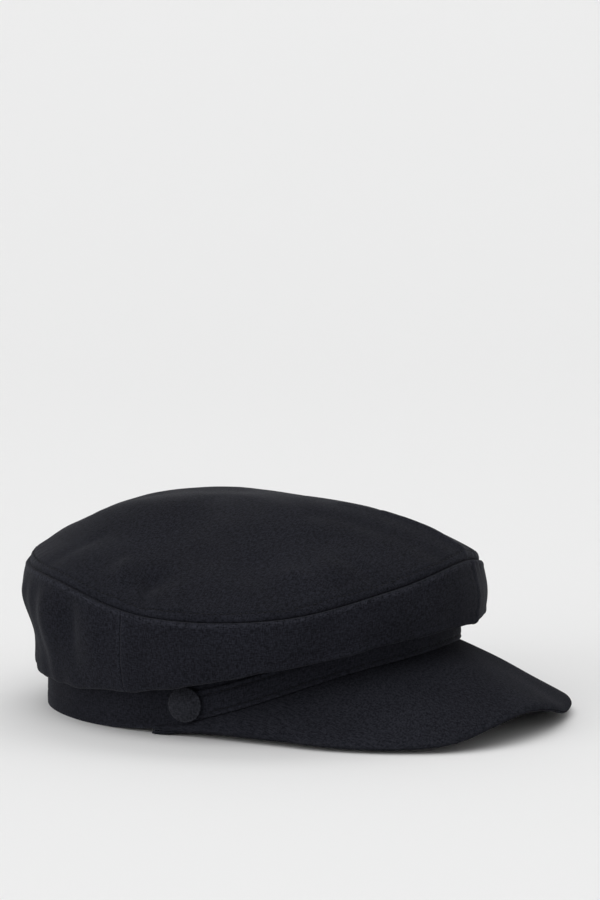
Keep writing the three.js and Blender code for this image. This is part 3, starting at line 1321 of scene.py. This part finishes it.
    def _rim_stitches(self) -> bpy.types.Object:
        """The row of stitches round the top, a little in from the rim.

        Returns:
            The piece.
        """
        angle = np.linspace(-180, 180, 721)
        rim = FORM.tip(angle, 1.0)
        reach = np.hypot(rim[:, 0], rim[:, 1] + FORM.apex_forward)
        share = 1 - self.stitch_from_seam / reach
        line = FORM.tip(angle, share)
        ahead, inward = FORM.tip(angle + 0.5, share), FORM.tip(angle, share - 0.01)
        normals = unit(np.cross(ahead - line, inward - line))
        normals *= np.sign(normals[:, 2:])
        around = np.radians(angle) * RIM_RADIUS
        from_rim = np.full_like(angle, self.stitch_from_seam)
        line[:, 2] += self._dented(line, from_rim)[0]
        line += normals * (self._puckers(around, from_rim, *self.rim_puckers) - self.groove)[:, None]
        return register(Stitches("rim_stitches").build(line, normals), self.wardrobe.thread, Slot.CROWN)

    def _panel(self, node: str, start: float, end: float) -> None:
        """One wall panel, from seam to seam and from the rim to its hem on the band.

        Args:
            node: the node that it stands for.
            start: angle of its first side seam.
            end: angle of its last side seam.
        """
        fine = np.linspace(start, end, 721)
        belly = FORM.wall(fine, np.full_like(fine, 0.2))
        length = run_length(belly)
        across = both_ends(length[-1] - self.seam_gap, self.column_step) + self.seam_gap / 2
        angles = np.interp(across, length, fine)
        hem_rows = len(self.allowance)
        shares = np.concatenate([[0] * hem_rows, stations(LIP / self.wall_reach, 1.0, self.row_count)])
        angle, share = np.meshgrid(angles, shares)
        points = FORM.wall(angle, share)
        down = grown(points, 0)
        side = np.minimum(across - across[0], across[-1] - across)[None, :] + 0 * angle
        middle_z = column(WALL, "belly_z", angle)
        outward = FORM.outward(angle)
        normals = grid_normals(points[hem_rows:])
        normals *= np.sign((normals * outward[hem_rows:]).sum(-1)[:10].mean())
        normals = np.concatenate([np.repeat(normals[:1], hem_rows, axis=0), normals])
        # The upright folds are fullest at the belly, and fade towards the rim and the hem.
        fade = bell(points[..., 2] - middle_z, self.fold_reach)
        fade *= np.minimum(1, share * 8) * (1 - ease((share - 0.45) / 0.12))
        push = np.zeros_like(angle)
        for fold in WALL_FOLDS:
            push += fold.rise * bell(turned(angle - fold.at), fold.width)
        points += outward * (push * fade)[..., None]
        # Past the fold at 0.6 of the way, the cloth lies on the band out of sight and stays plain.
        hidden = ease((share - self.hidden_from) / 0.1)
        around = np.radians(turned(angle)) * RIM_RADIUS
        # The cloth is slackest a little to each side of the back.
        slack = 0.12 + 0.3 * bell(np.abs(turned(angle)) - 140, 45)
        soft = slack * Ripple(20.0, 11).at(np.stack([around, down], -1), (1, 4))
        soft += 0.2 * Ripple(34.0, 12).at(points)
        relief = soft * ease(down / 12) * (1 - hidden)
        from_front = np.abs(turned(angle - FORM.front_seam)) * self.front_mm_per_degree
        front = bell(from_front, 4.0)
        # The edges roll in at the seams, less so at the front, where the seam stands out as a ridge.
        relief += -0.3 * roll(down, 0.7) - (0.5 - 0.25 * front) * roll(side, 0.9)
        relief += 0.2 * bell(down - 1.4, 1.3) + 0.8 * bell(from_front, 3.0) * (1 - hidden)
        # Behind the side seam the fold rides a little higher than the hem that it hides.
        lift = bell(turned(angle - 148), 30) * ease((share - 0.15) / 0.3) * (1 - hidden)
        points[..., 2] += self.fold_lift * lift
        # Over the peak the wall's lower half turns in under its own weight.
        over_peak = bell(turned(angle - 10), 52)
        tuck = self.turned_in * ease((share - 0.16) / 0.3) * over_peak * (1 - hidden)
        points -= outward * tuck[..., None]
        # Beside its two side seams the cloth lies on its seam allowance.
        relief += 0.16 * ease(side / 1.2) * (1 - ease((side - 6.0) / 1.6)) * (1 - hidden)
        relief += self._puckers(around, down, *self.wall_puckers) * ease(down / 1.5)
        relief += self._puckers(down, side, *self.side_puckers) * ease(side / 1.5) * (1 - hidden)
        points += normals * relief[..., None]
        for row, inward in enumerate(self.allowance):
            points[row] = points[hem_rows] - outward[row] * inward
        # Lighter cloth at the rim edge and along the side seams: rubbing and a painted highlight, more of it on the
        # ridge of the front seam.
        wear_and_highlight = 0.7 * bell(down - 1.0, 1.6) + (0.3 + 0.15 * front) * bell(side - 0.8, 1.4)
        # A painted highlight along the fold's lower edge, left off over the peak.
        wear_and_highlight = wear_and_highlight + 0.3 * bell(points[..., 2] - column(WALL, "fold_z", angle), 2.0) * (1 - over_peak)
        uv = np.stack([across[None, :] + 0 * down, down], axis=-1)
        sheet = Sheet(f"cap_{node}", points, uv, wear_and_highlight * (1 - hidden), Outside.AWAY, thickness=self.thickness)
        panel = register(sheet.build(), self.wardrobe.crown, Slot.CROWN, node)
        sheet.declare(panel, Held.FOLDED, ["cap_band"])


@dataclass
class Band:
    """The upright head band, with its turned lower edge and a join at the back."""

    wardrobe: Wardrobe
    thickness: float = 2.4
    columns: int = 480
    row_count: int = 26
    mean_height: float = 45.0
    fold_round: float = 0.9
    groove_up: float = 6.0
    groove: float = 0.28
    join: float = 0.5

    def build(self) -> None:
        """Builds the band as one ring."""
        angle, share = np.meshgrid(np.linspace(-180, 180, self.columns + 1),
                                   stations(LIP / self.mean_height, 1.0, self.row_count))
        low = FORM.band_edge(angle)
        high = column(WALL, "fold_z", angle) + FORM.hem
        z = low + (high - low) * share
        up = (high - low) * share
        points = FORM.on_oval(angle, 0, z)
        around = np.radians(angle) * BAND_RADIUS
        outward = FORM.outward(angle)
        relief = 0.12 * Ripple(24.0, 51).at(np.stack([around, up], -1)) * ease(up / 4)
        relief -= self.groove * bell(up - self.groove_up, 0.8)
        relief -= self.join * bell(np.abs(around) - BAND_RADIUS * math.pi, 0.8)
        points += outward * relief[..., None]
        # Lighter cloth along the turned lower edge: rubbing and a painted highlight.
        wear_and_highlight = 0.7 * bell(up, 1.6) * patchy(points, 25.0, 52)
        uv = np.stack([around, up], axis=-1)
        sheet = Sheet("cap_band", points, uv, wear_and_highlight, Outside.AWAY, ring=True, thickness=self.thickness,
                      edge_round=self.fold_round)
        band = register(sheet.build(), self.wardrobe.band, Slot.BAND, "band")
        sheet.declare(band, Held.STRETCHED, ["studio_floor"], curved=True)


@dataclass
class Peak:
    """The stiff peak: an upper and an under cover that meet in a seam round the edge."""

    wardrobe: Wardrobe
    span: float = 94.0
    thickness: float = 4.0
    cover: float = 1.3
    columns: int = 300
    row_count: int = 44
    mean_reach: float = 60.0
    top_drop: float = 2.1
    top_radius: float = 2.6
    under_rise: float = 1.55
    under_radius: float = 2.0
    seam_out: float = 0.3

    def build(self) -> None:
        """Builds both covers."""
        self._cover("peak_top", Outside.UP)
        self._cover("peak_under", Outside.DOWN)

    def _edge(self, count: int) -> Array:
        """The peak's upper edge line, evenly spaced from the wearer's left to the right.

        Args:
            count: number of points.

        Returns:
            The points.
        """
        right, left = (np.array([place(row.forward, way * row.side, row.z + way * row.lean + self.thickness)
                                 for row in PEAK_EDGE]) for way in (1, -1))
        whole = np.concatenate([left[:0:-1], right])
        chord = np.concatenate([[0], np.cumsum(np.sqrt(np.linalg.norm(np.diff(whole, axis=0), axis=1)))])
        slope = np.gradient(whole, chord, axis=0)
        t = np.linspace(0, chord[-1], 2001)
        i = np.clip(np.searchsorted(chord, t, side="right") - 1, 0, len(chord) - 2)
        step = (chord[i + 1] - chord[i])[:, None]
        u = (t - chord[i])[:, None] / step
        line = curve_between(u, step, whole[i], whole[i + 1], slope[i], slope[i + 1])
        length = run_length(line)
        even = np.linspace(0, length[-1], count)
        return between(even, length, line)

    def _cover(self, node: str, outside: Outside) -> None:
        """One cover, from the band out to the edge seam.

        Args:
            node: the node that it stands for.
            outside: whether it is the upper or the under one.
        """
        angle = np.linspace(-self.span, self.span, self.columns + 1)
        root_z = np.maximum(FORM.band_edge(angle) + FORM.peak_root_up, FORM.peak_root_lowest)
        root = FORM.on_oval(angle, FORM.gap, root_z)
        edge = self._edge(self.columns + 1)
        reach = np.linalg.norm(edge - root, axis=1)
        share = 1 - stations(LIP / self.mean_reach, 1.0, self.row_count)[:, None] + 0 * angle
        points = root + (edge - root) * share[..., None]
        points[..., 2] += FORM.peak_bow * reach * 4 * share * (1 - share)
        from_edge = (1 - share) * reach
        normals = grid_normals(points)
        normals *= np.sign(normals[..., 2:].mean())
        soft = 0.16 * Ripple(38.0, 61).at(points) * ease(from_edge / 10) * ease(share * 6)
        if outside is Outside.UP:
            relief = soft - self.top_drop * roll(from_edge, self.top_radius)
        else:
            relief = soft - self.thickness + self.under_rise * roll(from_edge, self.under_radius)
        outer = points + normals * relief[..., None]
        forward = (edge - root) / reach[:, None]
        outer += forward * (self.seam_out * bell(from_edge, 1.2))[..., None]
        # A painted highlight along the rounded edge, with some rubbing.
        wear_and_highlight = 0.25 * bell(from_edge, 2.2) * patchy(points, 22.0, 62)
        uv = outer[:1, :, :2] + grown(outer, 0)[..., None] * unit((edge - root)[:, :2])
        sheet = Sheet(f"cap_{node}", outer, uv, wear_and_highlight, outside, thickness=self.cover)
        cover = register(sheet.build(), self.wardrobe.peak, Slot.PEAK, node)
        sheet.declare(cover, Held.STRETCHED, ["cap_band"], curved=True)


@dataclass
class Strap:
    """The narrow strap over the root of the peak, topstitched along both edges."""

    wardrobe: Wardrobe
    span: float = 85.0
    height: float = 13.0
    thickness: float = 1.4
    columns: int = 360
    stitch_from_edge: float = 2.4
    thread_sunk: float = 0.35
    bare_end: float = 6.0
    edge_drop: float = 0.7
    groove: float = 0.6
    edge_round: float = 0.5

    def _low(self, angle: Array) -> Array:
        """Height of the strap's lower edge.

        Args:
            angle: angles in degrees.

        Returns:
            The height at each angle.
        """
        return FORM.band_edge(angle) + FORM.peak_root_up + FORM.gap

    def build(self) -> None:
        """Builds the strap and its two rows of stitches."""
        line = np.linspace(-self.span, self.span, self.columns + 1)
        up_places = both_ends(self.height, 0.6)
        angle, up = np.meshgrid(line, up_places)
        points = FORM.on_oval(angle, FORM.gap + self.thickness, self._low(angle) + up)
        around = np.radians(angle) * BAND_RADIUS
        outward = FORM.outward(angle)
        from_edge = np.minimum(up, self.height - up)
        relief = -self.edge_drop * roll(from_edge, 1.0)
        relief -= self.groove * bell(from_edge - self.stitch_from_edge, 0.7)
        relief += 0.07 * Ripple(9.0, 71).at(np.stack([around, up], -1)) * ease(from_edge / 1.5)
        points += outward * relief[..., None]
        # Lighter cloth along both edges: rubbing and a painted highlight.
        wear_and_highlight = 0.25 * bell(from_edge - 0.4, 1.0)
        uv = np.stack([around, up], axis=-1)
        sheet = Sheet("cap_strap", points, uv, wear_and_highlight, Outside.AWAY, thickness=self.thickness - 0.1,
                      edge_round=self.edge_round)
        strap = register(sheet.build(), self.wardrobe.band, Slot.BAND, "strap")
        ends = np.linspace(-self.span + self.bare_end, self.span - self.bare_end, 601)
        rows = []
        for name, height in (("low", self.stitch_from_edge), ("high", self.height - self.stitch_from_edge)):
            path = FORM.on_oval(ends, FORM.gap + self.thickness - self.thread_sunk, self._low(ends) + height)
            row = Stitches(f"strap_stitches_{name}").build(path, FORM.outward(ends))
            rows.append(register(row, self.wardrobe.thread, Slot.BAND))
        sheet.declare(strap, Held.STRETCHED, ["cap_band"], rows, curved=True)


@dataclass
class Button:
    """A cloth-covered button: a low dome whose cover is gathered in round its rim."""

    wardrobe: Wardrobe
    width: float = 16.0
    depth: float = 4.2
    height: float = 15.2
    at: float = 84.0
    rim: float = 1.4
    front_power: float = 0.82
    back_power: float = 0.6
    dome_power: float = 2.3
    gathers: int = 22
    gather: float = 0.12

    def build(self) -> None:
        """Builds a button at each side."""
        self._one("button_right", self.at)
        self._one("button_left", -self.at)

    def _one(self, node: str, angle: float) -> None:
        """One button, its flat back on the strap.

        Args:
            node: the node that it stands for.
            angle: where it sits.
        """
        bpy.ops.mesh.primitive_uv_sphere_add(segments=88, ring_count=48, radius=1)
        obj = bpy.context.object
        obj.name = obj.data.name = f"cap_{node}"
        ball = vectors_of(obj.data.vertices, "co")
        radius = np.hypot(ball[:, 0], ball[:, 1])
        turn = np.arctan2(ball[:, 1], ball[:, 0])
        front = ball[:, 2] > 0
        wide = radius ** np.where(front, self.front_power, self.back_power)
        dome = self.rim + (self.depth - self.rim) * (1 - wide**self.dome_power)
        rise = np.where(front, dome, self.rim * wide**6)
        gather = self.gather * np.cos(turn * self.gathers + 1.5 * np.sin(3 * turn)) * bell(wide - 1.0, 0.22)
        spread = (self.width / 2 + gather) * wide
        seat = FORM.on_oval(angle, FORM.gap + Strap.thickness + FORM.gap, self.height)
        outward = FORM.outward(angle)
        level = np.cross([0, 0, 1], outward)
        level_way, upward = spread * np.cos(turn), spread * np.sin(turn)
        points = seat + np.outer(level_way, level) + np.outer(upward, [0, 0, 1]) + np.outer(rise, outward)
        write_points(obj, in_metres(points))
        # Lighter cloth round the rim: rubbing and a painted highlight.
        write_cloth(obj, np.stack([level_way, upward], axis=-1), 0.5 * bell(wide - 0.93, 0.1))
        face_outwards(obj)
        register(obj, self.wardrobe.button, Slot.BUTTON, node)


@dataclass
class Studio:
    """A pale seamless floor, soft light and the camera at the photograph's angle."""

    turn: float = 27.0
    elevation: float = 11.0
    distance: float = 1500.0
    px_per_mm: float = 2.10
    frame_width_px: float = 600.0
    frame_height_px: float = 900.0
    seat_px: tuple[float, float] = (251.0, 703.0)
    sensor_mm: float = 36.0
    aim_steps: int = 30
    nearest: float = 0.05
    farthest: float = 50.0
    floor_before: float = 4.0
    floor_behind: float = 1.8
    sweep: float = 4.5
    floor_run: float = 16.0
    half_width: float = 6.0
    surround: float = 0.575

    @property
    def way(self) -> float:
        """The camera's turn about the cap.

        Returns:
            The angle, in radians.
        """
        return math.radians(-90 + self.turn)

    def build(self) -> None:
        """Makes the floor, the lights and the camera."""
        # The photograph's tones are plain sRGB, without a film curve.
        bpy.context.scene.view_settings.view_transform = "Standard"
        self._floor()
        self._lights()
        self._camera()

    def _floor(self) -> None:
        """A floor that curves up far behind the cap, in one sheet."""
        bpy.ops.mesh.primitive_grid_add(x_subdivisions=4, y_subdivisions=60, size=2)
        floor = bpy.context.object
        floor.name = "studio_floor"
        flat = vectors_of(floor.data.vertices, "co")
        back = np.array([-math.sin(self.way), math.cos(self.way), 0])
        side = np.array([math.cos(self.way), math.sin(self.way), 0])
        run = (flat[:, 1] + 1) / 2 * self.floor_run
        level_end = self.floor_before + self.floor_behind
        quarter = self.sweep * math.pi / 2
        curve = np.clip((run - level_end) / quarter, 0, 1) * math.pi / 2
        depth = np.minimum(run, level_end) - self.floor_before + self.sweep * np.sin(curve)
        height = self.sweep * (1 - np.cos(curve)) + np.maximum(0, run - level_end - quarter)
        across = flat[:, 0] * self.half_width
        write_points(floor, np.outer(depth, back) + np.outer(across, side) + np.outer(height, [0, 0, 1]))
        alone(floor)
        bpy.ops.object.shade_smooth()
        floor.data.materials.append(MattPaper().make())
        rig.stage(floor)

    def _lights(self) -> None:
        """Three soft windows, so far off that they light cap and backdrop alike, and an even surround."""
        world = bpy.data.worlds.new("studio_surround")
        bpy.context.scene.world = world
        world.use_nodes = True
        surround = world.node_tree.nodes["Background"]
        surround.inputs["Color"].default_value = linear("#FFFFFF")
        surround.inputs["Strength"].default_value = self.surround
        for window in WINDOWS:
            data = bpy.data.lights.new(window.name, "SUN")
            data.energy = window.power
            data.angle = math.radians(window.wide)
            light = bpy.data.objects.new(window.name, data)
            bpy.context.scene.collection.objects.link(light)
            light.location = window.at
            light.rotation_euler = (-light.location).to_track_quat("-Z", "Y").to_euler()

    def _camera(self) -> None:
        """The camera, turned so that the middle of the band stands where the photograph has it."""
        up = math.radians(self.elevation)
        back = np.array([math.sin(self.way) * math.cos(up), -math.cos(self.way) * math.cos(up), math.sin(up)])
        seat = np.array([0, ORIGIN_Y, 0])
        focal_px = self.px_per_mm * self.distance
        want = np.array([(self.seat_px[0] - self.frame_width_px / 2) / focal_px,
                         -(self.seat_px[1] - self.frame_height_px / 2) / focal_px])
        # The view turns step by step until the seat stands at its place in the picture.
        look = -back
        for _ in range(self.aim_steps):
            right = unit(np.cross(look, [0, 0, 1]))
            above = np.cross(right, look)
            depth = -back @ look
            seen = np.array([-back @ right, -back @ above]) / depth
            look = unit(look + right * (seen[0] - want[0]) + above * (seen[1] - want[1]))
        data = bpy.data.cameras.new("camera")
        data.sensor_width = self.sensor_mm
        data.lens = self.sensor_mm * focal_px / self.frame_height_px
        data.clip_start, data.clip_end = self.nearest, self.farthest
        camera = bpy.data.objects.new("camera", data)
        bpy.context.scene.collection.objects.link(camera)
        camera.location = seat + back * self.distance * MM
        camera.rotation_euler = Vector(look).to_track_quat("-Z", "Y").to_euler()
        bpy.context.scene.camera = camera


def main() -> None:
    """Builds the studio and the cap's pieces in order, and writes both boxes."""
    logging.basicConfig(level=logging.INFO, format="%(name)s %(message)s")
    bpy.ops.object.select_all(action="DESELECT")
    Studio().build()
    wardrobe = Wardrobe()
    Crown(wardrobe).build()
    Band(wardrobe).build()
    Peak(wardrobe).build()
    Strap(wardrobe).build()
    Button(wardrobe).build()
    with open("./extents.json", "w", encoding="utf-8") as f:
        json.dump({"cad": [list(c) for c in CAD_BOX], "visual": [list(c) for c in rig.bounds()]}, f)


if __name__ == "__main__":
    main()
